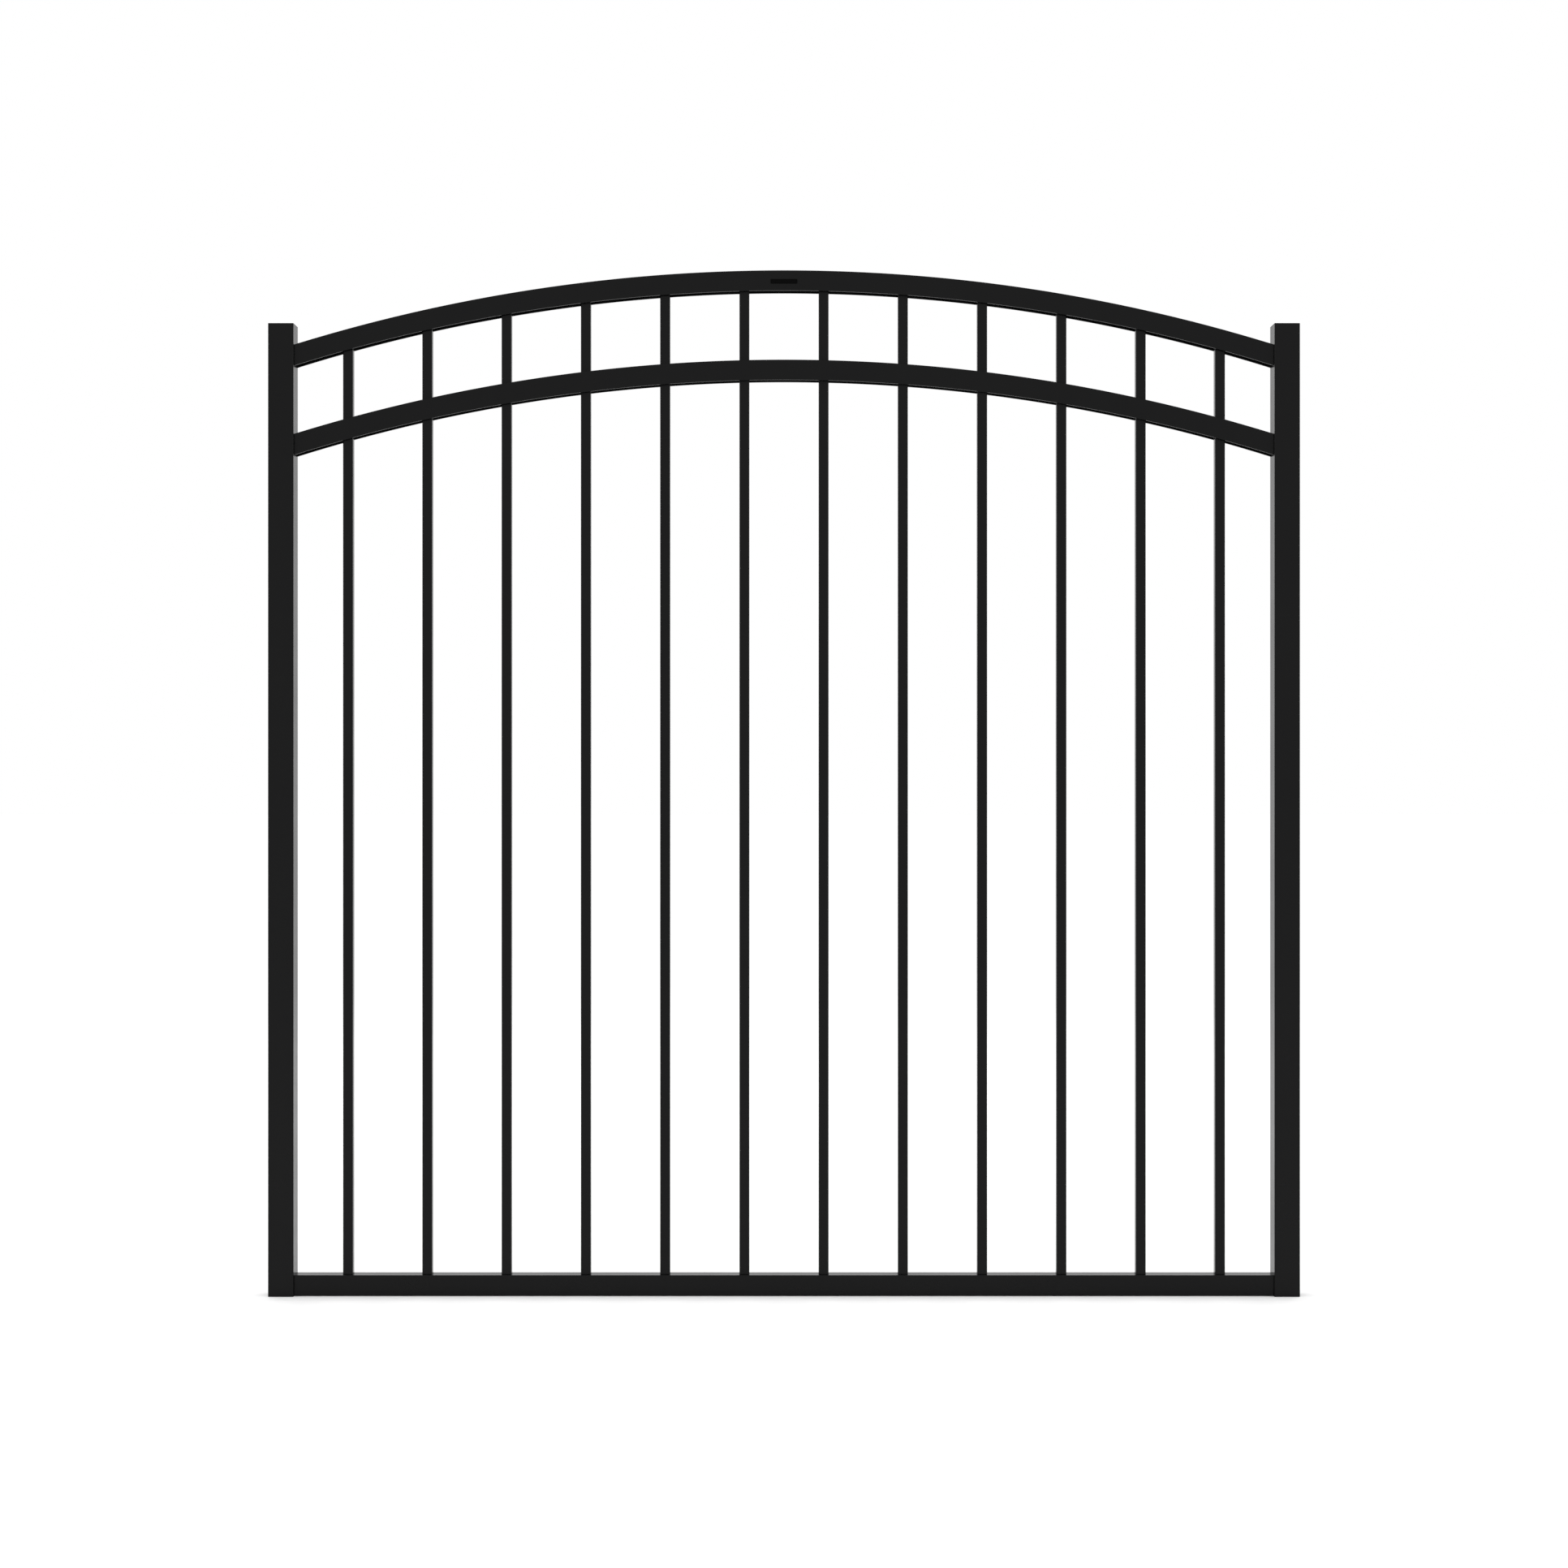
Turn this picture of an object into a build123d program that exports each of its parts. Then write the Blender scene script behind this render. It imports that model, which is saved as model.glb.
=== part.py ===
from build123d import *
import math
import os

# Arched garden gate leaf: two square tube stiles with end caps, two parallel arched rails and
# a straight bottom rail of channel with its open side down, and twelve square tube pickets
# that stand inside the channels. The welds are inside the channels, out of sight.
# Millimetres. +X runs from the hinge stile to the latch stile, +Y from front to back, +Z up.
# The origin is on the ground, midway between the stiles.

os.makedirs("parts", exist_ok=True)

# ---------------------------------------------------------------- leaf
leaf_width = 1454.0  # over both stiles
leaf_height = 1372.0  # ground to the top of the stile caps

# ---------------------------------------------------------------- stiles, square tube
stile_side = 36.0
stile_wall = 2.0
stile_corner = 1.2  # outside corner radius
stile_bore_corner = 0.5  # inside corner radius

# ---------------------------------------------------------------- rails, channel open downwards
rail_depth = 25.4  # along Y
rail_height = 28.6
rail_leg = 2.1  # thickness of the front and back legs
rail_web = 1.6  # thickness of the upper wall
rail_corner = 0.8  # outside radius of the two upper edges
rail_bore_corner = 0.8
rail_lip = 0.4  # chamfer of the legs' lower outside edges
arch_rise = 104.5  # crown above the place where the rail meets the stile
top_rail_drop = 29.2  # stile top down to the top rail's upper edge, at the stile
rail_spacing = 126.0  # top rail down to the second rail, measured straight down
bottom_rail_lift = 1.0  # bottom rail's underside above the ground

# ---------------------------------------------------------------- pickets, square tube
picket_count = 12
picket_side = 14.0
picket_wall = 1.25
picket_corner = 1.0
picket_bore_corner = 0.4
edge_gap = 68.0  # clear space between a stile and the picket next to it
punch_clearance = 0.15  # around a picket in its punched hole
picket_head_gap = 0.2  # between a picket's shaped head and the top rail's web
picket_foot_gap = 4.0  # bottom rail's underside up to the picket's foot

# ---------------------------------------------------------------- welds
picket_weld_leg = 2.5
rail_weld_leg = 3.0
weld_sink = 1.0  # depth drawn into the web, which is then cut away
end_weld_gap = 2.0  # free space above and below the upright beads at a rail's end

# ---------------------------------------------------------------- stile caps
cap_flange = 1.5
cap_edge = 0.7  # rounding of the flange's outer edge
cap_core_gap = 1.2  # between the plug's core and the stile's bore
cap_core_wall = 1.6
cap_core_corner = 1.0
cap_plug_depth = 22.0
cap_fin_count = 3
cap_fin_thickness = 1.2
cap_fin_pitch = 6.5

# ---------------------------------------------------------------- blank plate
plate_length = 38.0
plate_drop = 15.7  # top rail's crown down to the middle of the plate
plate_height = 6.4
plate_thickness = 0.8
plate_corner = 1.2
plate_border = 0.8
plate_recess = 0.25

# ---------------------------------------------------------------- worked-out values
clear_width = leaf_width - 2 * stile_side
stile_x = leaf_width / 2 - stile_side / 2
stile_face_x = clear_width / 2
stile_bore = stile_side - 2 * stile_wall
arch_radius = (stile_face_x**2 + arch_rise**2) / (2 * arch_rise)
top_crown_z = leaf_height - top_rail_drop + arch_rise
second_crown_z = top_crown_z - rail_spacing
bottom_rail_top = bottom_rail_lift + rail_height
picket_pitch = (clear_width - 2 * edge_gap - picket_side) / (picket_count - 1)
picket_xs = [(i - (picket_count - 1) / 2) * picket_pitch for i in range(picket_count)]
rail_bore_width = rail_depth - 2 * rail_leg
web_radius = arch_radius - rail_web
punch_side = picket_side + 2 * punch_clearance
punch_corner = picket_corner + punch_clearance
picket_weld_length = picket_side - 2 * picket_corner
end_weld_length = rail_bore_width - 2 * rail_bore_corner


def arc_z(x, crown_z, radius):
    """Height at x of an arc in the XZ plane with its crown at crown_z."""
    return crown_z - radius + math.sqrt(radius**2 - x**2)


def top_web_underside(x):
    return arc_z(x, top_crown_z - rail_web, web_radius)


def second_web_underside(x):
    return arc_z(x, second_crown_z - rail_web, web_radius)


def bottom_web_underside(x):
    return bottom_rail_top - rail_web


def channel_section(top):
    """Section of the rail's channel, open downwards, with its upper edge at top."""
    with BuildSketch() as section:
        with Locations((0, top - rail_height / 2)):
            Rectangle(rail_depth, rail_height)
        fillet(section.vertices().group_by(Axis.Y)[-1], rail_corner)
        chamfer(section.vertices().group_by(Axis.Y)[0], rail_lip)
        with Locations((0, top - rail_web - rail_height / 2)):
            RectangleRounded(rail_bore_width, rail_height, rail_bore_corner, mode=Mode.SUBTRACT)
    return section.sketch


def arched_channel(crown_z):
    """Channel bent to the arch and cut upright at the stiles."""
    centre_z = crown_z - arch_radius
    sweep = math.degrees(math.asin(stile_face_x / (arch_radius - rail_height))) + 1
    lean = math.radians(sweep)
    start = Plane((0, 0, centre_z), x_dir=(0, 1, 0), z_dir=(math.cos(lean), 0, math.sin(lean)))
    with BuildPart() as rail:
        with BuildSketch(start):
            add(channel_section(arch_radius))
        revolve(axis=Axis((0, 0, centre_z), (0, 1, 0)), revolution_arc=2 * sweep)
        with Locations((0, 0, crown_z)):
            Box(clear_width, 2 * rail_depth, 4 * (arch_rise + rail_height), mode=Mode.INTERSECT)
    return rail.part


def straight_channel(top_z):
    """Channel running straight from stile to stile."""
    with BuildPart() as rail:
        with BuildSketch(Plane.YZ.offset(-stile_face_x)):
            add(channel_section(top_z))
        extrude(amount=clear_width)
    return rail.part


def square_tube(x, low_z, high_z, side, wall, corner, bore_corner):
    """Upright square tube centred on x."""
    with BuildPart() as tube:
        with BuildSketch(Plane((x, 0, low_z))):
            RectangleRounded(side, side, corner)
            RectangleRounded(side - 2 * wall, side - 2 * wall, bore_corner, mode=Mode.SUBTRACT)
        extrude(amount=high_z - low_z)
    return tube.part


def stile_cap(x, seat_z, outward):
    """Push-in cap: a flat flange on the tube's end and a finned plug inside it.

    outward is 1 for a cap on top and -1 for one underneath.
    """
    seat = Plane((x, 0, seat_z), x_dir=(1, 0, 0), z_dir=(0, 0, outward))
    core_side = stile_bore - 2 * cap_core_gap
    core_bore = core_side - 2 * cap_core_wall
    with BuildPart() as cap:
        with BuildSketch(seat):
            RectangleRounded(stile_side, stile_side, stile_corner)
        extrude(amount=cap_flange)
        outer_face = cap.faces().sort_by(Axis.Z)[-1 if outward > 0 else 0]
        fillet(outer_face.edges(), cap_edge)
        with BuildSketch(seat):
            RectangleRounded(core_side, core_side, cap_core_corner)
            RectangleRounded(core_bore, core_bore, cap_core_corner, mode=Mode.SUBTRACT)
        extrude(amount=-cap_plug_depth)
        for fin in range(cap_fin_count):
            with BuildSketch(seat.offset(-cap_fin_pitch * (fin + 1))):
                RectangleRounded(stile_bore, stile_bore, stile_bore_corner)
                RectangleRounded(core_bore, core_bore, cap_core_corner, mode=Mode.SUBTRACT)
            extrude(amount=cap_fin_thickness)
    return cap.part


def web_welds(feet, web_underside, leg, length, rail_body):
    """Fillet welds under a rail's web, in the corners that it makes with upright faces.

    feet lists (x of the upright face, side it faces). The beads are drawn into the web and
    rail_body is cut away, so each one ends on the web's underside.
    """
    with BuildPart() as welds:
        with BuildSketch(Plane.XZ):
            for x, side in feet:
                toe_x = x + side * leg
                upright_toe = (x, web_underside(x) - leg)
                web_toe = (toe_x, web_underside(toe_x))
                sunk_toe = (toe_x, web_underside(toe_x) + weld_sink)
                sunk_root = (x, web_underside(x) + weld_sink)
                Polygon(upright_toe, web_toe, sunk_toe, sunk_root, align=None)
        extrude(amount=length / 2, both=True)
        add(rail_body, mode=Mode.SUBTRACT)
    return welds.part


def leg_welds(low_z, high_z):
    """Upright fillet welds between a rail's legs and the stiles, inside the channel."""
    with BuildPart() as welds:
        with BuildSketch(Plane.XY.offset(low_z)):
            for x, inward in stile_feet:
                for side in (-1, 1):
                    leg_y = side * rail_bore_width / 2
                    root = (x, leg_y)
                    rail_toe = (x + inward * rail_weld_leg, leg_y)
                    stile_toe = (x, leg_y - side * rail_weld_leg)
                    Polygon(root, rail_toe, stile_toe, align=None)
        extrude(amount=high_z - low_z)
    return welds.part


# ---------------------------------------------------------------- stiles and their caps
tube_foot = cap_flange
tube_head = leaf_height - cap_flange
for stile_name, side in (("hinge_stile", -1), ("latch_stile", 1)):
    x = side * stile_x
    with BuildPart() as stile:
        add(square_tube(x, tube_foot, tube_head, stile_side, stile_wall, stile_corner, stile_bore_corner))
    stile.part.label = stile_name
    export_step(stile.part, f"parts/{stile_name}.step")

    for end, seat_z, outward in (("top", tube_head, 1), ("bottom", tube_foot, -1)):
        with BuildPart() as cap:
            add(stile_cap(x, seat_z, outward))
        cap.part.label = f"{stile_name}_{end}_cap"
        export_step(cap.part, f"parts/{stile_name}_{end}_cap.step")

# ---------------------------------------------------------------- top arched rail
# Its web isn't punched: the pickets end under it.
top_rail_body = arched_channel(top_crown_z)
with BuildPart() as top_arch_rail:
    add(top_rail_body)
top_arch_rail.part.label = "top_arch_rail"
export_step(top_arch_rail.part, "parts/top_arch_rail.step")

# ---------------------------------------------------------------- second arched rail
second_rail_body = arched_channel(second_crown_z)
with BuildPart() as second_arch_rail:
    add(second_rail_body)
    for x in picket_xs:
        with BuildSketch(Plane((x, 0, second_web_underside(x) - picket_side))):
            RectangleRounded(punch_side, punch_side, punch_corner)
        extrude(amount=rail_height + picket_side, mode=Mode.SUBTRACT)
second_arch_rail.part.label = "second_arch_rail"
export_step(second_arch_rail.part, "parts/second_arch_rail.step")

# ---------------------------------------------------------------- bottom rail
bottom_rail_body = straight_channel(bottom_rail_top)
with BuildPart() as bottom_rail:
    add(bottom_rail_body)
    for x in picket_xs:
        with BuildSketch(Plane((x, 0, bottom_rail_top))):
            RectangleRounded(punch_side, punch_side, punch_corner)
        extrude(amount=-2 * rail_web, mode=Mode.SUBTRACT)
bottom_rail.part.label = "bottom_rail"
export_step(bottom_rail.part, "parts/bottom_rail.step")

# ---------------------------------------------------------------- pickets
# Each picket stands inside the bottom rail, passes through the second rail's web, and its
# head is shaped to the arc of the top rail's web.
picket_foot = bottom_rail_lift + picket_foot_gap
arch_centre = Location((0, 0, top_crown_z - arch_radius))
for number, x in enumerate(picket_xs, start=1):
    with BuildPart() as picket:
        add(
            square_tube(
                x, picket_foot, top_crown_z, picket_side, picket_wall, picket_corner, picket_bore_corner
            )
        )
        with Locations(arch_centre):
            Cylinder(web_radius - picket_head_gap, rail_depth, rotation=(90, 0, 0), mode=Mode.INTERSECT)
    picket.part.label = f"picket_{number:02d}"
    export_step(picket.part, f"parts/picket_{number:02d}.step")

# ---------------------------------------------------------------- welds, one node per row of joints
picket_feet = [(x + side * picket_side / 2, side) for x in picket_xs for side in (-1, 1)]
stile_feet = [(-stile_face_x, 1), (stile_face_x, -1)]
for rail_name, web_underside, rail_body in (
    ("top_rail", top_web_underside, top_rail_body),
    ("second_rail", second_web_underside, second_rail_body),
    ("bottom_rail", bottom_web_underside, bottom_rail_body),
):
    with BuildPart() as picket_welds:
        add(web_welds(picket_feet, web_underside, picket_weld_leg, picket_weld_length, rail_body))
    picket_welds.part.label = f"{rail_name}_picket_welds"
    export_step(picket_welds.part, f"parts/{rail_name}_picket_welds.step")

    web_z = web_underside(stile_face_x)
    leg_weld_low = web_z + rail_web - rail_height + end_weld_gap
    leg_weld_high = web_z - rail_weld_leg - end_weld_gap
    with BuildPart() as end_welds:
        add(web_welds(stile_feet, web_underside, rail_weld_leg, end_weld_length, rail_body))
        add(leg_welds(leg_weld_low, leg_weld_high))
    end_welds.part.label = f"{rail_name}_end_welds"
    export_step(end_welds.part, f"parts/{rail_name}_end_welds.step")

# ---------------------------------------------------------------- blank plate on the top rail's front
plate_z = top_crown_z - plate_drop
field_length = plate_length - 2 * plate_border
field_height = plate_height - 2 * plate_border
front_of_rail = Plane.XZ.offset(rail_depth / 2)
front_of_plate = Plane.XZ.offset(rail_depth / 2 + plate_thickness)
with BuildPart() as blank_plate:
    with BuildSketch(front_of_rail):
        with Locations((0, plate_z)):
            RectangleRounded(plate_length, plate_height, plate_corner)
    extrude(amount=plate_thickness)
    with BuildSketch(front_of_plate):
        with Locations((0, plate_z)):
            RectangleRounded(field_length, field_height, plate_corner - plate_border / 2)
    extrude(amount=-plate_recess, mode=Mode.SUBTRACT)
blank_plate.part.label = "blank_plate"
export_step(blank_plate.part, "parts/blank_plate.step")
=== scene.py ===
import math

import bpy
import numpy as np
from bpy.props import FloatProperty, FloatVectorProperty, IntProperty, PointerProperty
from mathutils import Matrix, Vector


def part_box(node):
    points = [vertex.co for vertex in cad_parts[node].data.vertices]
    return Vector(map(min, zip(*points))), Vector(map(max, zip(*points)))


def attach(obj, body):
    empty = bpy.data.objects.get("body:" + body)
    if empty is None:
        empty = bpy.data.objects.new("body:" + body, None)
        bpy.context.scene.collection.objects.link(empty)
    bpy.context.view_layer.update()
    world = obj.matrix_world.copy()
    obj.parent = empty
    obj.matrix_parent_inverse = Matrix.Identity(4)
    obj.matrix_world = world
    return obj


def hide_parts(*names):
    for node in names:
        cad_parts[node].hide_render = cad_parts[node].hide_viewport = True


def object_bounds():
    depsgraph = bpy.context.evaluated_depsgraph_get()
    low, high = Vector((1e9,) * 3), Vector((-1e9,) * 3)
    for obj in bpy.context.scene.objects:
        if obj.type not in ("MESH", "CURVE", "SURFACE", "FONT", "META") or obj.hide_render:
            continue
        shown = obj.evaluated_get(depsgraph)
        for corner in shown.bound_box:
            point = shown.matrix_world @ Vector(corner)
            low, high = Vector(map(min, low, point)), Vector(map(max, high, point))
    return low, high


bl_info = {
    "name": "Arched garden gate leaf",
    "version": (1, 0, 0),
    "blender": (4, 5, 0),
    "location": "3D View > Sidebar > Gate",
    "description": "Tubes, channels, welds, caps and finishes of an arched welded gate leaf",
    "category": "Object",
}

# Metres. +X runs from the hinge stile to the latch stile, +Y from front to back, +Z up.
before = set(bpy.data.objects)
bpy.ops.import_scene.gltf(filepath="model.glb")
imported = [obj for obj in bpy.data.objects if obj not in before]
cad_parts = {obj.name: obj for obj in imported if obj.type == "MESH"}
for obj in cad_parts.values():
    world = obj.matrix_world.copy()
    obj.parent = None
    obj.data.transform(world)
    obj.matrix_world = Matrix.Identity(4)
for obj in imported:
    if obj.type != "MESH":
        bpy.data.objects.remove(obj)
cad_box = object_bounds()

BODY = "root"
STILES = ("hinge_stile", "latch_stile")
PICKETS = sorted(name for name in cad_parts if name.startswith("picket_"))

ARC_STEPS = 6  # straight pieces in a rounded corner
PLATE_EDGE_STEPS = 4  # the same in the plate's much smaller edges
ARCH_STATIONS = 181  # sections along an arched rail
LEVEL_STATIONS = 25  # sections along the bottom rail
SHARP_ANGLE = math.radians(35)  # edges that turn further than this stay sharp
FLAT_WEIGHT = 80  # how firmly the large faces hold the shading flat

stile_low, stile_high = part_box(STILES[0])
rail_low, rail_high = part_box("top_arch_rail")
_, second_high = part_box("second_arch_rail")
bottom_low, bottom_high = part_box("bottom_rail")
picket_low, picket_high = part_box(PICKETS[0])
cap_low, cap_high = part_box("hinge_stile_top_cap")
plate_low, plate_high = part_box("blank_plate")


# ---------------------------------------------------------------- sizes and colours


def length(name, description, default):
    """A size in metres."""
    return FloatProperty(
        name=name, description=description, default=default, min=0.0, subtype="DISTANCE", unit="LENGTH"
    )


def share(name, description, default):
    """A number from nothing to one."""
    return FloatProperty(
        name=name, description=description, default=default, min=0.0, max=1.0, subtype="FACTOR"
    )


def colour(name, description, default):
    """Red, green and blue, linear."""
    return FloatVectorProperty(
        name=name, description=description, default=default, size=3, min=0.0, max=1.0, subtype="COLOR"
    )


def number(name, description, default, least=0.0):
    """A plain number, whose unit is in its description."""
    return FloatProperty(name=name, description=description, default=default, min=least)


def angle(name, description, degrees):
    """An angle, with its default given in degrees."""
    return FloatProperty(
        name=name, description=description, default=math.radians(degrees), subtype="ANGLE", unit="ROTATION"
    )


class GateTubes(bpy.types.PropertyGroup):
    """Sections of the tubes and channels."""

    stile_wall: length("Stile wall", "Thickness of the stile tubes", 0.002)
    stile_corner: length("Stile corner", "Outside corner radius of the stiles", 0.0012)
    stile_bore_corner: length("Stile bore corner", "Inside corner radius of the stiles", 0.0005)
    rail_height: length("Rail height", "Height of the rail channels", bottom_high.z - bottom_low.z)
    rail_leg: length("Rail leg", "Thickness of a channel's front and back legs", 0.0021)
    rail_web: length("Rail web", "Thickness of a channel's upper wall", 0.0016)
    rail_corner: length("Rail corner", "Outside radius of a channel's upper edges", 0.0008)
    rail_bore_corner: length("Rail bore corner", "Inside radius under a channel's web", 0.0008)
    rail_lip: length("Rail lip", "Rounding of a leg's lower outside edge", 0.0004)
    rail_inner_lip: length("Rail inner lip", "Rounding of a leg's lower inside edge", 0.0003)
    picket_wall: length("Picket wall", "Thickness of the picket tubes", 0.00125)
    picket_corner: length("Picket corner", "Outside corner radius of the pickets", 0.001)
    picket_bore_corner: length("Picket bore corner", "Inside corner radius of the pickets", 0.0004)
    picket_head_gap: length("Picket head gap", "Between a picket's head and the top web", 0.0002)
    punch_gap: length("Punch gap", "Space around a picket in its punched hole", 0.00015)


class GateFittings(bpy.types.PropertyGroup):
    """Caps, plate and welds."""

    cap_flange: length("Cap flange", "Thickness of a stile cap's flange", 0.0015)
    cap_edge: length("Cap edge", "Rounding of the flange's outer edge", 0.0007)
    cap_core_gap: length("Cap core gap", "Space between the plug's core and the stile's bore", 0.0012)
    cap_core_wall: length("Cap core wall", "Thickness of the plug's core", 0.0016)
    cap_core_corner: length("Cap core corner", "Corner radius of the plug's core", 0.001)
    cap_fin_pitch: length("Cap fin pitch", "From one fin to the next", 0.0065)
    cap_fin_root: length("Cap fin root", "Thickness of a fin where it leaves the plug", 0.0012)
    cap_fin_tip: length("Cap fin tip", "Thickness of a fin at its outer edge", 0.00064)
    cap_fin_draft: length("Cap fin draft", "Rise of a fin's underside to its outer edge", 0.00016)
    cap_fins: IntProperty(name="Cap fins", description="Fins around a plug", default=3, min=1, max=8)
    plate_corner: length("Plate corner", "Corner radius of the blank plate", 0.0012)
    plate_border: length("Plate border", "Width of the plate's raised border", 0.0008)
    plate_recess: length("Plate recess", "Depth of the plate's field below its border", 0.00025)
    plate_edge: length("Plate edge", "Rounding of the plate's front edges", 0.0002)
    picket_weld: length("Picket weld leg", "Leg of the fillet welds at the pickets", 0.0025)
    rail_weld: length("Rail weld leg", "Leg of the fillet welds at the stiles", 0.003)
    end_weld_gap: length("End weld gap", "Bare leg above and below an upright bead", 0.002)
    weld_ripple: share("Weld ripple", "Height of a weld's ripples as a share of its leg", 0.07)
    weld_ripple_pitch: length("Weld ripple pitch", "From one ripple to the next", 0.0013)


class GateFinish(bpy.types.PropertyGroup):
    """Colours and surface of the coat, the caps and the plate."""

    coat_colour: colour("Coat colour", "Black powder coat", (0.0032, 0.0032, 0.0033))
    coat_roughness: share("Coat roughness", "Roughness of the satin coat", 0.24)
    coat_ior: number("Coat IOR", "Refractive index of the coat", 1.22, least=1.0)
    peel_size: length("Peel size", "From one ripple of the coat's orange peel to the next", 0.0016)
    peel_depth: length("Peel depth", "Height of the orange peel", 0.00003)
    weld_roughening: share("Weld roughening", "Added to the coat's roughness on the welds", 0.08)
    cap_colour: colour("Cap colour", "Moulded cap plastic", (0.0042, 0.0042, 0.0042))
    cap_roughness: share("Cap roughness", "Roughness of the cap plastic", 0.42)
    cap_ior: number("Cap IOR", "Refractive index of the cap plastic", 1.26, least=1.0)
    cap_grain_size: length("Cap grain size", "From one pit of the mould's grain to the next", 0.0005)
    cap_grain_depth: length("Cap grain depth", "Depth of the mould's grain", 0.000012)
    plate_colour: colour("Plate colour", "Matt black plate", (0.0016, 0.0016, 0.0016))
    plate_roughness: share("Plate roughness", "Roughness of the plate", 0.5)
    plate_ior: number("Plate IOR", "Refractive index of the plate's finish", 1.1, least=1.0)
    plate_grain_size: length("Plate grain size", "From one pit of the plate's grain to the next", 0.0004)
    plate_grain_depth: length("Plate grain depth", "Depth of the plate's grain", 0.000006)


class GateStage(bpy.types.PropertyGroup):
    """Camera, floor and light."""

    camera_distance: length("Camera distance", "From the leaf's middle plane", 3.923)
    camera_height: length("Camera height", "Above the ground", 0.7226)
    lens: number("Lens", "Focal length in millimetres", 63.65, least=10.0)
    floor_half: length("Floor half width", "From the leaf to the floor's edge", 60.0)
    floor_colour: colour("Floor colour", "Pale floor", (0.9, 0.9, 0.9))
    floor_roughness: share("Floor roughness", "Roughness of the floor", 0.8)
    surround: number("Surround", "Radiance of the white studio", 1.0)
    overhead: number("Overhead", "Soft light from above, W/m2", 0.45)
    overhead_spread: angle("Overhead spread", "Angle that the overhead light fills", 120)
    softbox_size: length("Softbox size", "Side of each square softbox", 2.6)
    softbox_distance: length("Softbox distance", "From the middle of the leaf", 4.5)
    softbox_radiance: number("Softbox radiance", "W/m2/sr", 1.5)
    softbox_elevation: angle("Softbox elevation", "Of the softboxes above the horizon", 20)
    side_azimuth: angle("Side azimuth", "From the front round to a side softbox", 75)
    rear_azimuth: angle("Rear azimuth", "From the front round to a rear softbox", 142)


# ---------------------------------------------------------------- surfaces


def rounded_outline(corners, radii):
    """Closed outline with right-angled corners, each one rounded.

    With u and v the unit vectors from corner P back and ahead along its sides, the arc of radius r
    is P + r (u + v - v cos a - u sin a), for a from nothing to a right angle.
    """
    corner = np.asarray(corners, float)
    back = np.roll(corner, 1, axis=0) - corner
    ahead = np.roll(corner, -1, axis=0) - corner
    back = back / np.linalg.norm(back, axis=1, keepdims=True)
    ahead = ahead / np.linalg.norm(ahead, axis=1, keepdims=True)
    turn = np.linspace(0.0, np.pi / 2, ARC_STEPS + 1)[None, :, None]
    radius = np.broadcast_to(radii, len(corner))[:, None, None]
    back, ahead = back[:, None], ahead[:, None]
    arcs = corner[:, None] + radius * (back + ahead - ahead * np.cos(turn) - back * np.sin(turn))
    return arcs.reshape(-1, 2)


def rounded_rectangle(half_width, half_height, radius):
    """Outline of a rectangle about the origin, anticlockwise from its lower left corner."""
    w, h = half_width, half_height
    return rounded_outline([(-w, -h), (w, -h), (w, h), (-w, h)], radius)


def grid_faces(rows, columns, ring=False):
    """Quads of a grid that closes on itself across its columns, and along its rows too if ring."""
    row = np.arange(rows if ring else rows - 1)[:, None]
    column = np.arange(columns)[None, :]
    next_row = (row + 1) % rows
    next_column = (column + 1) % columns
    corners = (
        row * columns + column,
        next_row * columns + column,
        next_row * columns + next_column,
        row * columns + next_column,
    )
    return np.stack(corners, axis=-1)


def end_faces(rows, columns):
    """The two many-sided faces that close a grid's first and last rows."""
    first = np.arange(columns)
    return [first.tolist(), (first[::-1] + (rows - 1) * columns).tolist()]


def closed_stack(loops):
    """Solid between the first and last of a stack of loops, an array of rows, columns and three."""
    rows, columns, _ = loops.shape
    faces = grid_faces(rows, columns).reshape(-1, 4).tolist() + end_faces(rows, columns)
    return loops.reshape(-1, 3), faces


def closed_ring(loops):
    """Solid whose stack of loops comes round to its first again, such as a tube's wall."""
    rows, columns, _ = loops.shape
    return loops.reshape(-1, 3), grid_faces(rows, columns, ring=True).reshape(-1, 4).tolist()


def joined(solids):
    """One list of points and faces from several."""
    starts = np.cumsum([0] + [len(points) for points, _ in solids])
    points = np.concatenate([points for points, _ in solids])
    faces = [[start + i for i in face] for start, (_, faces) in zip(starts, solids) for face in faces]
    return points, faces


def outward(points, faces):
    """The faces, turned round if their signed volume is negative.

    The volume is a sixth of the sum of p0 . (p1 x p2) over the triangles that fan each face.
    """
    fans = np.array([(face[0], face[i], face[i + 1]) for face in faces for i in range(1, len(face) - 1)])
    a, b, c = points[fans[:, 0]], points[fans[:, 1]], points[fans[:, 2]]
    volume = np.einsum("ij,ij->i", a, np.cross(b, c)).sum() / 6
    return faces if volume > 0 else [face[::-1] for face in faces]


def tube_wall(outer, inner, low, high):
    """A tube's wall: up the outside, over the end, down the bore and back under.

    outer and inner are outlines in X and Y, and low and high give the height of an end at X.
    """
    def loop(outline, height):
        return np.column_stack([outline, height(outline[:, 0])])

    return closed_ring(np.stack([loop(outer, low), loop(outer, high), loop(inner, high), loop(inner, low)]))


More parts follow.
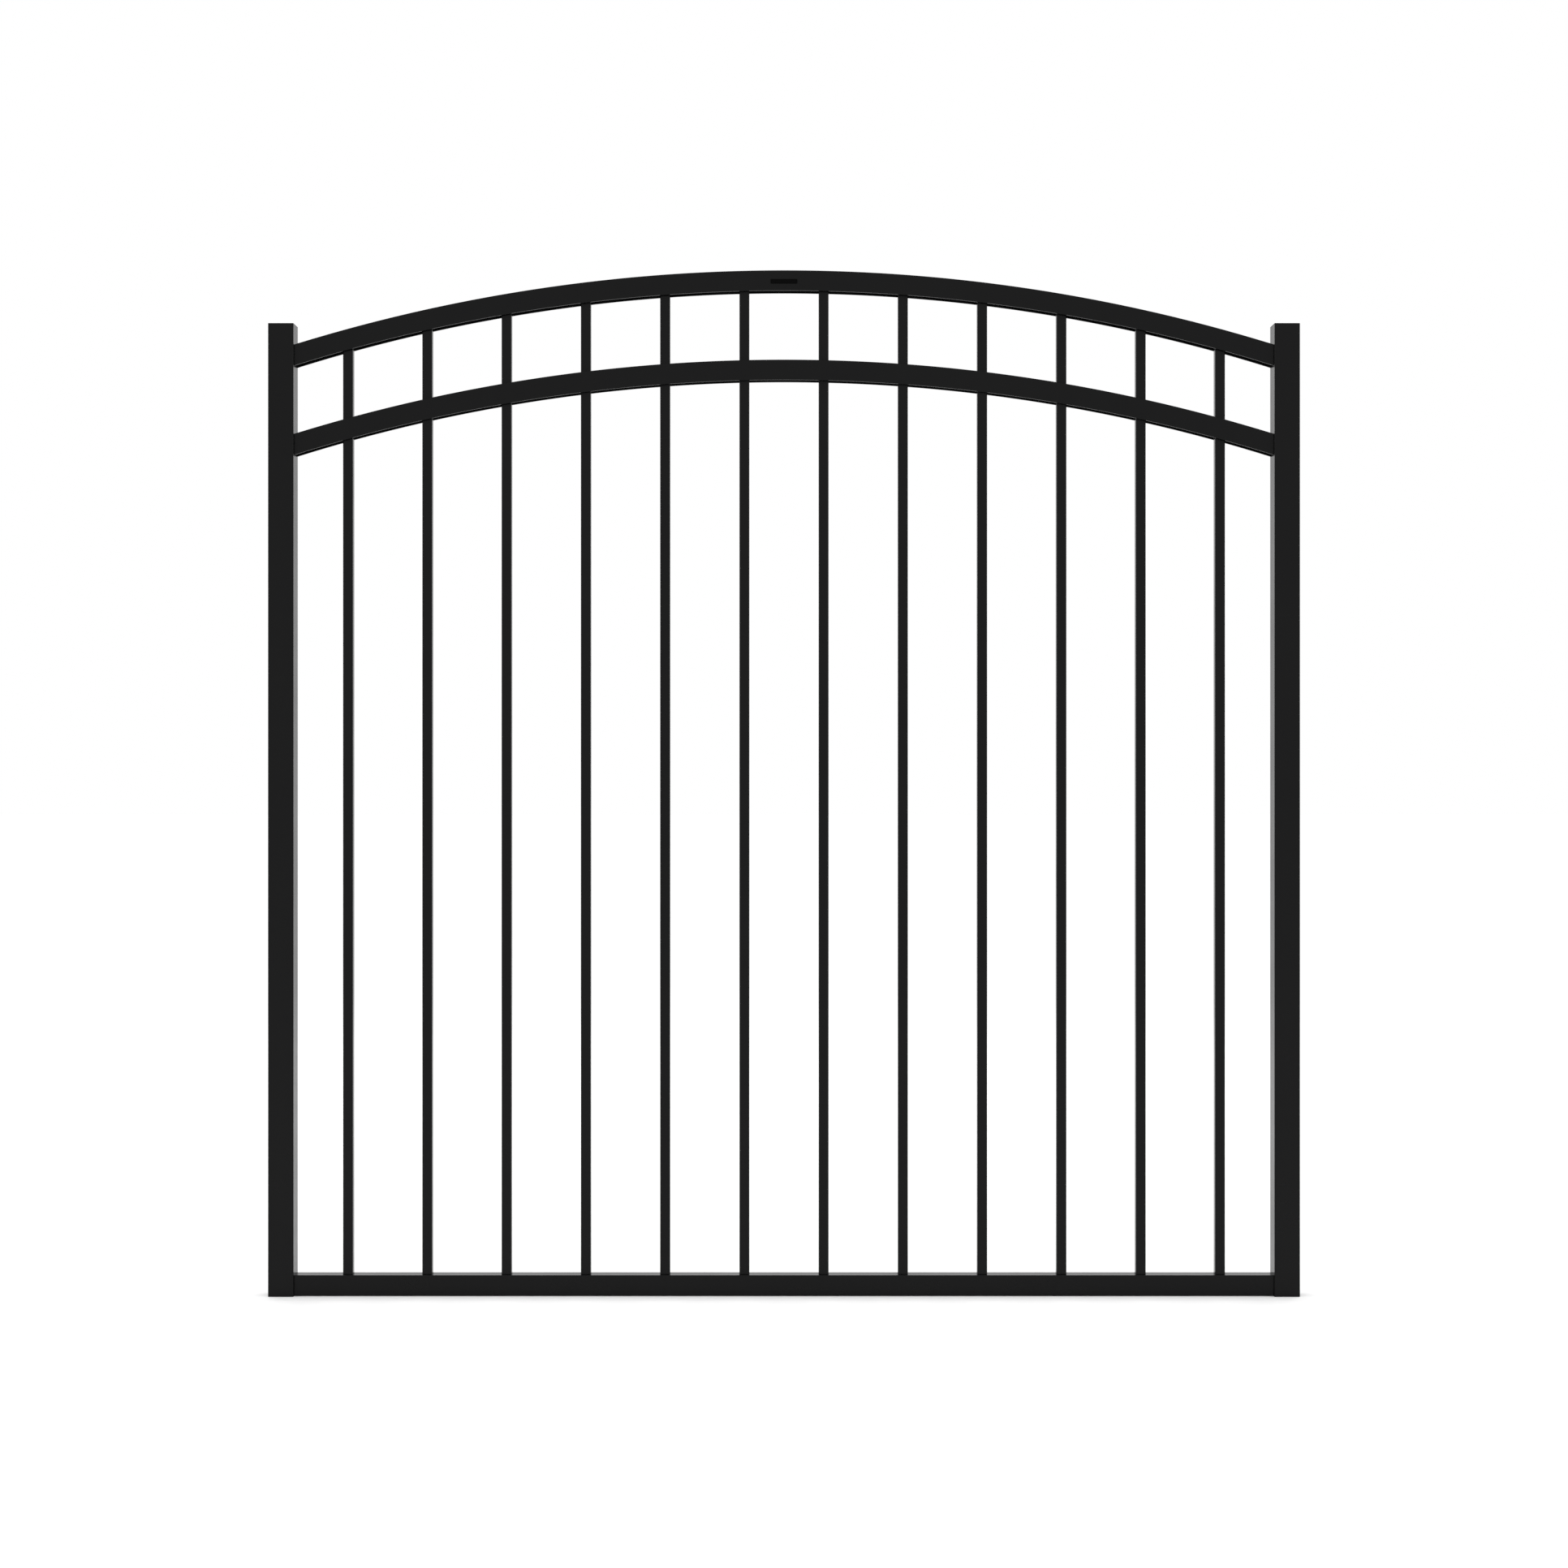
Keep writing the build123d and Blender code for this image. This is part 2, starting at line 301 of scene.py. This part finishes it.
def make_piece(name, solids, material, slot, *nodes):
    """A shaded mesh of closed solids that rides on the leaf and stands for the CAD nodes."""
    points, faces = joined([(points, outward(points, faces)) for points, faces in solids])
    mesh = bpy.data.meshes.new(name)
    mesh.from_pydata(points.tolist(), [], faces)
    mesh.shade_smooth()
    mesh.set_sharp_from_angle(angle=SHARP_ANGLE)
    mesh.materials.append(material)
    piece = bpy.data.objects.new(name, mesh)
    bpy.context.scene.collection.objects.link(piece)
    weighting = piece.modifiers.new("Flats stay flat", "WEIGHTED_NORMAL")
    weighting.keep_sharp = True
    weighting.weight = FLAT_WEIGHT
    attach(piece, BODY)
    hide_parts(*nodes)
    return piece


# ---------------------------------------------------------------- rails


def punch_reach(sizes):
    """From the middle of a punched hole to its edge."""
    return (picket_high.x - picket_low.x) / 2 + sizes.punch_gap


def channel_outline(sizes, half_depth):
    """Section of a channel open downwards, in Y and height below its upper edge.

    Its web has points at the edges of the punched holes. Returned with the places, along the
    outline, of the two stretches of web between those edges, outside and inside.
    """
    bore = half_depth - sizes.rail_leg
    low, web = -sizes.rail_height, -sizes.rail_web
    corners = [
        (-half_depth, 0),
        (half_depth, 0),
        (half_depth, low),
        (bore, low),
        (bore, web),
        (-bore, web),
        (-bore, low),
        (-half_depth, low),
    ]
    lips = (sizes.rail_lip, sizes.rail_inner_lip)
    top, under = sizes.rail_corner, sizes.rail_bore_corner
    outline = rounded_outline(corners, [top, top, *lips, under, under, *lips[::-1]])
    half_punch = punch_reach(sizes)
    # The web follows the first corner on the outside, and the fifth on the inside.
    outside_at, inside_at = ARC_STEPS + 1, 5 * (ARC_STEPS + 1)
    outside = [(-half_punch, 0), (half_punch, 0)]
    inside = [(half_punch, web), (-half_punch, web)]
    outline = np.insert(outline, inside_at, inside, axis=0)
    outline = np.insert(outline, outside_at, outside, axis=0)
    return outline, outside_at, inside_at + 2


def punch_walls(starts, ends, outside, inside, columns):
    """Faces that line the punched holes, from the outside of the web to its inside."""
    faces = []
    for start, end in zip(starts, ends):
        rows = np.arange(start, end)
        here, after = rows * columns, (rows + 1) * columns
        front = (here + outside, after + outside, after + inside + 1, here + inside + 1)
        rear = (after + outside + 1, here + outside + 1, here + inside, after + inside)
        near, far = start * columns, end * columns
        faces += np.stack(front, axis=1).tolist() + np.stack(rear, axis=1).tolist()
        faces.append([near + outside + 1, near + outside, near + inside + 1, near + inside])
        faces.append([far + outside, far + outside + 1, far + inside, far + inside + 1])
    return faces


def rail_solid(sizes, height_at, holes, stations):
    """A channel carried from stile to stile, punched where holes says.

    The point of the section at depth h below the upper edge is at height_at(x, h) above the
    ground, so an arched rail's ends are upright.
    """
    half_depth = (rail_high.y - rail_low.y) / 2
    outline, outside, inside = channel_outline(sizes, half_depth)
    half_punch = punch_reach(sizes)
    edges = np.add.outer(np.asarray(holes), (-half_punch, half_punch)).ravel()
    xs = np.unique(np.concatenate([np.linspace(rail_low.x, rail_high.x, stations), edges]))
    x, _ = np.meshgrid(xs, outline[:, 0], indexing="ij")
    y = np.broadcast_to(outline[:, 0], x.shape)
    z = height_at(x, outline[None, :, 1])
    loops = np.stack([x, y, z], axis=-1)
    rows, columns, _ = loops.shape
    grid = grid_faces(rows, columns)
    kept = np.ones(grid.shape[:2], bool)
    starts, ends = np.searchsorted(xs, edges[::2]), np.searchsorted(xs, edges[1::2])
    punched = np.zeros(rows - 1, bool)
    for start, end in zip(starts, ends):
        punched[start:end] = True
    kept[np.ix_(punched, [outside, inside])] = False
    faces = grid[kept].tolist() + end_faces(rows, columns)
    faces += punch_walls(starts, ends, outside, inside, columns)
    return loops.reshape(-1, 3), faces


def arch_radius(sizes):
    """Radius of the arched rails' upper edges, from a rail's box.

    With a half the rail's length, h its height and k its lowest point measured up from its crown,
    the lower edge meets the stile where (R - h)^2 - a^2 = (R + k)^2.
    """
    a, h, k = rail_high.x, sizes.rail_height, rail_low.z - rail_high.z
    return (h * h - a * a - k * k) / (2 * (h + k))


def arch(crown, radius):
    """Height at x of the circle of that radius, moved out by h, whose own crown is at crown."""
    return lambda x, h=0.0: crown - radius + np.sqrt((radius + h) ** 2 - x * x)


def level(top):
    """The same for a straight edge: its height is top at every x."""
    return lambda x, h=0.0: top + h + 0 * x


def rails():
    """Name, node, height function, whether it is punched, and number of stations of each rail."""
    radius = arch_radius(bpy.context.scene.gate_tubes)
    return (
        ("top_arch_channel", "top_arch_rail", arch(rail_high.z, radius), False, ARCH_STATIONS),
        ("second_arch_channel", "second_arch_rail", arch(second_high.z, radius), True, ARCH_STATIONS),
        ("bottom_channel", "bottom_rail", level(bottom_high.z), True, LEVEL_STATIONS),
    )


def picket_middles():
    """Each picket's middle along X."""
    return [(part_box(name)[0].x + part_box(name)[1].x) / 2 for name in PICKETS]


# ---------------------------------------------------------------- welds


RIPPLE_STEPS = 6  # sections in one ripple
BEAD_STEPS = 7  # straight pieces across a bead's face
RIPPLE_BOW = 0.35  # how far a ripple bows along the bead, as a share of a ripple
BEAD_POWER = 1.35  # of the face's sine and cosine: 1 is a quarter circle, 2 a flat face
BEAD_SUNK = 0.12  # depth of the root behind its corner, as a share of the leg
END_TAPER = 0.9  # c in the taper: the leg's square at a bead's end is 1 - c of that at its middle


def weld_beads(roots, along, across, down, run, leg, fittings):
    """Rippled fillet beads, one for each root point, all worked out together.

    A bead runs along one direction, and its section is a corner closed by leg (cos a)^p across and
    leg (sin a)^p down. The leg swells with the ripples, which bow along the bead, and shrinks
    towards its two ends as the square root of 1 - c s^6, for s from -1 to 1 along the bead.
    """
    count = max(int(run / fittings.weld_ripple_pitch), 2)
    t = np.linspace(0.0, 1.0, RIPPLE_STEPS * count + 1)[None, :, None]
    a = np.linspace(0.0, np.pi / 2, BEAD_STEPS + 1)[None, None, :]
    taper = np.sqrt(1 - END_TAPER * np.abs(2 * t - 1) ** 6)
    phase = 2 * np.pi * (count * t + RIPPLE_BOW * np.sin(2 * a))
    reach = leg * taper * (1 - fittings.weld_ripple * (1 + np.cos(phase)))
    face_across = np.clip(np.cos(a), 0, 1) ** BEAD_POWER * reach
    face_down = np.clip(np.sin(a), 0, 1) ** BEAD_POWER * reach
    root = np.full_like(reach[:, :, :1], -BEAD_SUNK * leg)
    face_across = np.concatenate([root, face_across], axis=2)[..., None]
    face_down = np.concatenate([root, face_down], axis=2)[..., None]
    place = (t - 0.5)[..., None] * run
    vectors = [np.asarray(v, float)[:, None, None, :] for v in (roots, along, across, down)]
    points = vectors[0] + place * vectors[1] + face_across * vectors[2] + face_down * vectors[3]
    return [closed_stack(bead) for bead in points]


def picket_weld_solids(height_at, sizes, fittings):
    """Two beads under the web at each picket, front to back along its sides."""
    half = (picket_high.x - picket_low.x) / 2
    side = np.tile([-1.0, 1.0], len(PICKETS))
    x = np.repeat(picket_middles(), 2) + side * half
    z = height_at(x, -sizes.rail_web)
    step = 1e-4
    slope = (height_at(x + step, -sizes.rail_web) - height_at(x - step, -sizes.rail_web)) / (2 * step)
    zero = np.zeros_like(x)
    across = np.column_stack([side, zero, side * slope])
    across /= np.linalg.norm(across, axis=1, keepdims=True)
    roots = np.column_stack([x, zero, z])
    run = 2 * (half - sizes.picket_corner)
    along = np.column_stack([zero, zero + 1, zero])
    down = np.column_stack([zero, zero, zero - 1])
    return weld_beads(roots, along, across, down, run, fittings.picket_weld, fittings)


def end_weld_solids(height_at, sizes, fittings):
    """Beads inside a channel's ends: one under the web and one up each leg, at both stiles."""
    bore = (rail_high.y - rail_low.y) / 2 - sizes.rail_leg
    leg, gap = fittings.rail_weld, fittings.end_weld_gap
    side = np.array([-1.0, 1.0])
    x = side * rail_high.x
    z = height_at(x, -sizes.rail_web)
    zero = np.zeros(2)
    run = 2 * (bore - sizes.rail_bore_corner)
    along = np.column_stack([zero, zero + 1, zero])
    inward = np.column_stack([-side, zero, zero])
    down = np.column_stack([zero, zero, zero - 1])
    beads = weld_beads(np.column_stack([x, zero, z]), along, inward, down, run, leg, fittings)
    rise = sizes.rail_height - sizes.rail_web - leg - 2 * gap
    middle = z - leg - gap - rise / 2
    for face in (-1.0, 1.0):
        roots = np.column_stack([x, zero + face * bore, middle])
        off_leg = np.column_stack([zero, zero - face, zero])
        beads += weld_beads(roots, -down, inward, off_leg, rise, leg, fittings)
    return beads


# ---------------------------------------------------------------- caps and plate


def cap_solid(x, seat, outwards, fittings, sizes):
    """A push-in cap as a stack of rounded squares: flange, finned plug and the plug's hollow.

    Each row of the section is a half width, a corner radius and a height off the seat. The
    flange's edge is the quarter circle half - e + e sin a, flange - e + e cos a.
    """
    half = (stile_high.x - stile_low.x) / 2
    bore = half - sizes.stile_wall
    core = bore - fittings.cap_core_gap
    hollow = core - fittings.cap_core_wall
    edge, flange = fittings.cap_edge, fittings.cap_flange
    corner, core_corner = sizes.stile_corner, fittings.cap_core_corner
    depth = cap_high.z - cap_low.z - flange
    turn = np.linspace(0.0, np.pi / 2, ARC_STEPS + 1)
    rounding = np.column_stack([
        half - edge + edge * np.sin(turn),
        corner - edge + edge * np.sin(turn),
        flange - edge + edge * np.cos(turn),
    ])
    section = [*rounding, (half, corner, 0.0), (core, core_corner, 0.0)]
    for fin in range(1, fittings.cap_fins + 1):
        low = -fin * fittings.cap_fin_pitch
        tip = low + fittings.cap_fin_draft
        section += [
            (core, core_corner, low + fittings.cap_fin_root),
            (bore, sizes.stile_bore_corner, tip + fittings.cap_fin_tip),
            (bore, sizes.stile_bore_corner, tip),
            (core, core_corner, low),
        ]
    section += [(core, core_corner, -depth), (hollow, core_corner, -depth), (hollow, core_corner, 0.0)]
    loops = []
    for side, radius, height in section:
        outline = rounded_rectangle(side, side, radius) + (x, 0.0)
        loops.append(np.column_stack([outline, np.full(len(outline), seat + outwards * height)]))
    return closed_stack(np.stack(loops))


def plate_solid(fittings):
    """The blank plate as a stack of rounded rectangles, from its back to the field inside its border.

    Each row of the section is how far the outline is drawn in, and its place from back to front.
    The rounded edges are quarter circles.
    """
    middle = (plate_low + plate_high) / 2
    half_length, half_height = (plate_high.x - plate_low.x) / 2, (plate_high.z - plate_low.z) / 2
    back, front, edge = plate_high.y, plate_low.y, fittings.plate_edge
    border, field = fittings.plate_border, front + fittings.plate_recess
    turn = np.linspace(0.0, np.pi / 2, PLATE_EDGE_STEPS + 1)
    outer = np.column_stack([edge - edge * np.cos(turn), front + edge - edge * np.sin(turn)])
    inner = np.column_stack([border - edge + edge * np.sin(turn), front + edge - edge * np.cos(turn)])
    section = [(0.0, back), *outer, *inner, (border, field)]
    loops = []
    for drawn_in, y in section:
        radius = max(fittings.plate_corner - drawn_in, edge)
        outline = rounded_rectangle(half_length - drawn_in, half_height - drawn_in, radius)
        loops.append(np.column_stack([
            outline[:, 0] + middle.x, np.full(len(outline), y), outline[:, 1] + middle.z
        ]))
    return closed_stack(np.stack(loops))


# ---------------------------------------------------------------- finishes


def node_group(name, inputs, outputs):
    """An empty shader node group with named inputs and outputs."""
    group = bpy.data.node_groups.new(name, "ShaderNodeTree")
    for label, kind, default in inputs:
        socket = group.interface.new_socket(name=label, in_out="INPUT", socket_type=kind)
        if default is not None:
            socket.default_value = default
    for label, kind in outputs:
        group.interface.new_socket(name=label, in_out="OUTPUT", socket_type=kind)
    return group, group.nodes.new("NodeGroupInput").outputs, group.nodes.new("NodeGroupOutput").inputs


def feed(tree, socket, value):
    """Link an input to a socket, or set it to a number."""
    if isinstance(value, bpy.types.NodeSocket):
        tree.links.new(value, socket)
    else:
        socket.default_value = value


def math_node(tree, operation, *values):
    """The output of a Math node whose inputs are sockets or numbers."""
    node = tree.nodes.new("ShaderNodeMath")
    node.operation = operation
    for socket, value in zip(node.inputs, values):
        feed(tree, socket, value)
    return node.outputs[0]


def noise(tree, place, scale, detail, roughness=0.5):
    """A 3D noise texture's value."""
    node = tree.nodes.new("ShaderNodeTexNoise")
    inputs = {"Vector": place, "Scale": scale, "Detail": detail, "Roughness": roughness}
    for name, value in inputs.items():
        feed(tree, node.inputs[name], value)
    return node.outputs["Fac"]


def coat_group():
    """Sprayed and baked coat: orange peel, fine grain, and slow drifts of colour and gloss."""
    value, vector, tint = "NodeSocketFloat", "NodeSocketVector", "NodeSocketColor"
    group, given, out = node_group(
        "Baked coat",
        [
            ("Coordinates", vector, None),
            ("Colour", tint, (0.005, 0.005, 0.005, 1.0)),
            ("Colour Drift", value, 0.25),
            ("Roughness", value, 0.35),
            ("Roughness Drift", value, 0.08),
            ("Peel Scale", value, 650.0),
            ("Grain Share", value, 0.25),
        ],
        [("Colour", tint), ("Roughness", value), ("Height", value)],
    )
    place, peel_scale = given["Coordinates"], given["Peel Scale"]
    grains_per_ripple = 5.0
    drift_scale, patch_scale, patch_share = 9.0, 55.0, 0.3
    peel = noise(group, place, peel_scale, detail=1.0)
    grain_scale = math_node(group, "MULTIPLY", peel_scale, grains_per_ripple)
    grain = noise(group, place, grain_scale, detail=2.0)
    drift = noise(group, place, drift_scale, detail=3.0, roughness=0.6)
    patch = noise(group, place, patch_scale, detail=2.0)

    patches = math_node(group, "MULTIPLY", patch, patch_share)
    mixed = math_node(group, "MULTIPLY_ADD", drift, 1 - patch_share, patches)
    swing = math_node(group, "MULTIPLY_ADD", mixed, 2.0, -1.0)
    brightness = math_node(group, "MULTIPLY_ADD", swing, given["Colour Drift"], 1.0)
    tinted = group.nodes.new("ShaderNodeHueSaturation")
    group.links.new(brightness, tinted.inputs["Value"])
    group.links.new(given["Colour"], tinted.inputs["Color"])
    group.links.new(tinted.outputs["Color"], out["Colour"])

    speck_share = 0.4
    specks = math_node(group, "MULTIPLY_ADD", grain, 2.0, -1.0)
    gloss = math_node(group, "MULTIPLY_ADD", specks, speck_share, swing)
    rough = math_node(group, "MULTIPLY_ADD", gloss, given["Roughness Drift"], given["Roughness"])
    group.links.new(rough, out["Roughness"])
    height = math_node(group, "MULTIPLY_ADD", grain, given["Grain Share"], peel)
    group.links.new(height, out["Height"])
    return group


def coated_material(name, tint, roughness, ior, peel_size, peel_depth, drift=0.2, grain=0.25):
    """A dark dielectric finish with the baked coat's texture at its own scale."""
    made = bpy.data.materials.get(name)
    if made:
        return made
    made = bpy.data.materials.new(name)
    made.use_nodes = True
    tree = made.node_tree
    shader = tree.nodes["Principled BSDF"]
    shader.inputs["IOR"].default_value = ior
    coat = tree.nodes.new("ShaderNodeGroup")
    coat.node_tree = bpy.data.node_groups.get("Baked coat") or coat_group()
    coat.inputs["Colour"].default_value = (*tint, 1.0)
    coat.inputs["Colour Drift"].default_value = drift
    coat.inputs["Roughness"].default_value = roughness
    coat.inputs["Peel Scale"].default_value = 1 / peel_size
    coat.inputs["Grain Share"].default_value = grain
    place = tree.nodes.new("ShaderNodeTexCoord")
    bump = tree.nodes.new("ShaderNodeBump")
    bump.inputs["Strength"].default_value = 1.0
    bump.inputs["Distance"].default_value = peel_depth
    tree.links.new(place.outputs["Object"], coat.inputs["Coordinates"])
    tree.links.new(coat.outputs["Colour"], shader.inputs["Base Color"])
    tree.links.new(coat.outputs["Roughness"], shader.inputs["Roughness"])
    tree.links.new(coat.outputs["Height"], bump.inputs["Height"])
    tree.links.new(bump.outputs["Normal"], shader.inputs["Normal"])
    return made


def powder_coat():
    """Satin black coat of the stiles, rails and pickets."""
    finish = bpy.context.scene.gate_finish
    return coated_material(
        "black powder coat",
        finish.coat_colour,
        finish.coat_roughness,
        finish.coat_ior,
        finish.peel_size,
        finish.peel_depth,
    )


def weld_coat():
    """The same coat over the welds, where it lies thicker and rougher."""
    finish = bpy.context.scene.gate_finish
    return coated_material(
        "powder coat on welds",
        finish.coat_colour,
        finish.coat_roughness + finish.weld_roughening,
        finish.coat_ior,
        finish.peel_size / 2,
        2 * finish.peel_depth,
    )


def cap_plastic():
    """Moulded plastic of the stile caps."""
    finish = bpy.context.scene.gate_finish
    return coated_material(
        "moulded black plastic",
        finish.cap_colour,
        finish.cap_roughness,
        finish.cap_ior,
        finish.cap_grain_size,
        finish.cap_grain_depth,
        drift=0.1,
        grain=0.6,
    )


def plate_finish():
    """Dull finish of the blank plate."""
    finish = bpy.context.scene.gate_finish
    return coated_material(
        "matt black plate",
        finish.plate_colour,
        finish.plate_roughness,
        finish.plate_ior,
        finish.plate_grain_size,
        finish.plate_grain_depth,
        drift=0.1,
        grain=0.5,
    )


# ---------------------------------------------------------------- operators


class GATE_OT_stiles(bpy.types.Operator):
    """Make the two square tube stiles"""

    bl_idname = "gate.stiles"
    bl_label = "Stiles"

    def execute(self, context):
        sizes = context.scene.gate_tubes
        for node in STILES:
            low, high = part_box(node)
            half = (high.x - low.x) / 2
            bore = half - sizes.stile_wall
            middle = ((low.x + high.x) / 2, 0.0)
            outer = rounded_rectangle(half, half, sizes.stile_corner) + middle
            inner = rounded_rectangle(bore, bore, sizes.stile_bore_corner) + middle
            wall = tube_wall(outer, inner, level(low.z), level(high.z))
            make_piece(f"{node}_tube", [wall], powder_coat(), "coated_stile", node)
        return {"FINISHED"}


class GATE_OT_rails(bpy.types.Operator):
    """Make the two arched channels and the bottom channel"""

    bl_idname = "gate.rails"
    bl_label = "Rails"

    def execute(self, context):
        for name, node, height_at, punched, stations in rails():
            holes = picket_middles() if punched else []
            solid = rail_solid(context.scene.gate_tubes, height_at, holes, stations)
            make_piece(name, [solid], powder_coat(), "coated_rail", node)
        return {"FINISHED"}


class GATE_OT_pickets(bpy.types.Operator):
    """Make the twelve square tube pickets, their heads shaped to the top rail"""

    bl_idname = "gate.pickets"
    bl_label = "Pickets"

    def execute(self, context):
        sizes = context.scene.gate_tubes
        half = (picket_high.x - picket_low.x) / 2
        bore = half - sizes.picket_wall
        head = arch(rail_high.z, arch_radius(sizes))
        head_drop = sizes.rail_web + sizes.picket_head_gap
        for node, x in zip(PICKETS, picket_middles()):
            outer = rounded_rectangle(half, half, sizes.picket_corner) + (x, 0.0)
            inner = rounded_rectangle(bore, bore, sizes.picket_bore_corner) + (x, 0.0)
            wall = tube_wall(outer, inner, level(picket_low.z), lambda x: head(x, -head_drop))
            make_piece(f"{node}_tube", [wall], powder_coat(), "coated_picket", node)
        return {"FINISHED"}


class GATE_OT_caps(bpy.types.Operator):
    """Make the four push-in stile caps with their finned plugs"""

    bl_idname = "gate.caps"
    bl_label = "Stile caps"

    def execute(self, context):
        sizes, fittings = context.scene.gate_tubes, context.scene.gate_fittings
        for stile in STILES:
            low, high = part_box(stile)
            x = (low.x + high.x) / 2
            for end, seat, outwards in (("top", high.z, 1), ("bottom", low.z, -1)):
                node = f"{stile}_{end}_cap"
                solid = cap_solid(x, seat, outwards, fittings, sizes)
                make_piece(f"{node}_moulding", [solid], cap_plastic(), "cap_plastic", node)
        return {"FINISHED"}


class GATE_OT_welds(bpy.types.Operator):
    """Make the rippled weld beads inside the three channels"""

    bl_idname = "gate.welds"
    bl_label = "Welds"

    def execute(self, context):
        sizes, fittings = context.scene.gate_tubes, context.scene.gate_fittings
        for rail, (_, _, height_at, _, _) in zip(("top_rail", "second_rail", "bottom_rail"), rails()):
            for node, solids in (
                (f"{rail}_picket_welds", picket_weld_solids(height_at, sizes, fittings)),
                (f"{rail}_end_welds", end_weld_solids(height_at, sizes, fittings)),
            ):
                make_piece(f"{node[:-1]}_beads", solids, weld_coat(), "coated_weld", node)
        return {"FINISHED"}


class GATE_OT_plate(bpy.types.Operator):
    """Make the blank plate on the front of the top rail"""

    bl_idname = "gate.plate"
    bl_label = "Blank plate"

    def execute(self, context):
        solid = plate_solid(context.scene.gate_fittings)
        make_piece("blank_plate_face", [solid], plate_finish(), "plate", "blank_plate")
        return {"FINISHED"}


def add_softbox(name, azimuth, settings):
    """A square area light, unseen by the camera, turned to the middle of the leaf.

    Its direction from the leaf is (sin a cos e, -cos a cos e, sin e), for azimuth a and
    elevation e, and its power is its radiance times pi times its area.
    """
    lamp = bpy.data.lights.new(name, "AREA")
    lamp.shape = "SQUARE"
    lamp.size = settings.softbox_size
    lamp.energy = settings.softbox_radiance * math.pi * settings.softbox_size**2
    rise = settings.softbox_elevation
    direction = Vector((
        math.sin(azimuth) * math.cos(rise),
        -math.cos(azimuth) * math.cos(rise),
        math.sin(rise),
    ))
    softbox = bpy.data.objects.new(name, lamp)
    softbox.location = (cad_box[0] + cad_box[1]) / 2 + settings.softbox_distance * direction
    softbox.rotation_euler = direction.to_track_quat("Z", "Y").to_euler()
    softbox.visible_camera = False
    bpy.context.scene.collection.objects.link(softbox)


def add_floor(settings):
    """A square pale floor at the leaf's foot."""
    half, ground = settings.floor_half, cad_box[0].z
    mesh = bpy.data.meshes.new("floor")
    corners = [(-half, -half, ground), (half, -half, ground), (half, half, ground), (-half, half, ground)]
    mesh.from_pydata(corners, [], [(0, 1, 2, 3)])
    paint = bpy.data.materials.new("pale floor")
    paint.use_nodes = True
    shader = paint.node_tree.nodes["Principled BSDF"]
    shader.inputs["Base Color"].default_value = (*settings.floor_colour, 1.0)
    shader.inputs["Roughness"].default_value = settings.floor_roughness
    shader.inputs["Specular IOR Level"].default_value = 0.0
    mesh.materials.append(paint)
    floor = bpy.data.objects.new("floor", mesh)
    bpy.context.scene.collection.objects.link(floor)


def add_surround(settings):
    """A plain white world."""
    world = bpy.data.worlds.new("white studio")
    world.use_nodes = True
    background = world.node_tree.nodes["Background"]
    background.inputs["Color"].default_value = (1.0, 1.0, 1.0, 1.0)
    background.inputs["Strength"].default_value = settings.surround
    bpy.context.scene.world = world


def add_lights(settings):
    """A wide soft light from above, with a softbox on each side and two behind."""
    overhead = bpy.data.lights.new("overhead", "SUN")
    overhead.energy = settings.overhead
    overhead.angle = settings.overhead_spread
    bpy.context.scene.collection.objects.link(bpy.data.objects.new("overhead", overhead))
    for name, azimuth in (
        ("left", -settings.side_azimuth),
        ("right", settings.side_azimuth),
        ("rear_left", -settings.rear_azimuth),
        ("rear_right", settings.rear_azimuth),
    ):
        add_softbox(name, azimuth, settings)


def add_camera(settings):
    """A level camera, square on to the leaf's front."""
    camera = bpy.data.cameras.new("camera")
    camera.lens = settings.lens
    camera.sensor_width = 36.0
    viewer = bpy.data.objects.new("camera", camera)
    viewer.location = (0.0, -settings.camera_distance, settings.camera_height)
    viewer.rotation_euler = (math.radians(90), 0.0, 0.0)
    bpy.context.scene.collection.objects.link(viewer)
    bpy.context.scene.camera = viewer


class GATE_OT_stage(bpy.types.Operator):
    """Make the pale floor, the white surround, the soft light and the camera"""

    bl_idname = "gate.stage"
    bl_label = "Stage"

    def execute(self, context):
        settings = context.scene.gate_stage
        context.scene.view_settings.view_transform = "Standard"
        add_floor(settings)
        add_surround(settings)
        add_lights(settings)
        add_camera(settings)
        return {"FINISHED"}


class GATE_PT_panel(bpy.types.Panel):
    """Lists the steps that make the gate leaf"""

    bl_idname = "GATE_PT_panel"
    bl_label = "Arched gate leaf"
    bl_space_type = "VIEW_3D"
    bl_region_type = "UI"
    bl_category = "Gate"

    def draw(self, context):
        for step in STEPS:
            self.layout.operator(step.bl_idname)


STEPS = (
    GATE_OT_stage,
    GATE_OT_stiles,
    GATE_OT_rails,
    GATE_OT_pickets,
    GATE_OT_caps,
    GATE_OT_welds,
    GATE_OT_plate,
)
GROUPS = {
    "gate_tubes": GateTubes,
    "gate_fittings": GateFittings,
    "gate_finish": GateFinish,
    "gate_stage": GateStage,
}


def register():
    for cls in (*GROUPS.values(), *STEPS, GATE_PT_panel):
        bpy.utils.register_class(cls)
    for name, cls in GROUPS.items():
        setattr(bpy.types.Scene, name, PointerProperty(type=cls))


def unregister():
    for name in GROUPS:
        delattr(bpy.types.Scene, name)
    for cls in reversed((*GROUPS.values(), *STEPS, GATE_PT_panel)):
        bpy.utils.unregister_class(cls)


def main():
    register()
    bpy.ops.gate.stage()
    bpy.ops.gate.stiles()
    bpy.ops.gate.rails()
    bpy.ops.gate.pickets()
    bpy.ops.gate.caps()
    bpy.ops.gate.welds()
    bpy.ops.gate.plate()


if __name__ == "__main__":
    main()
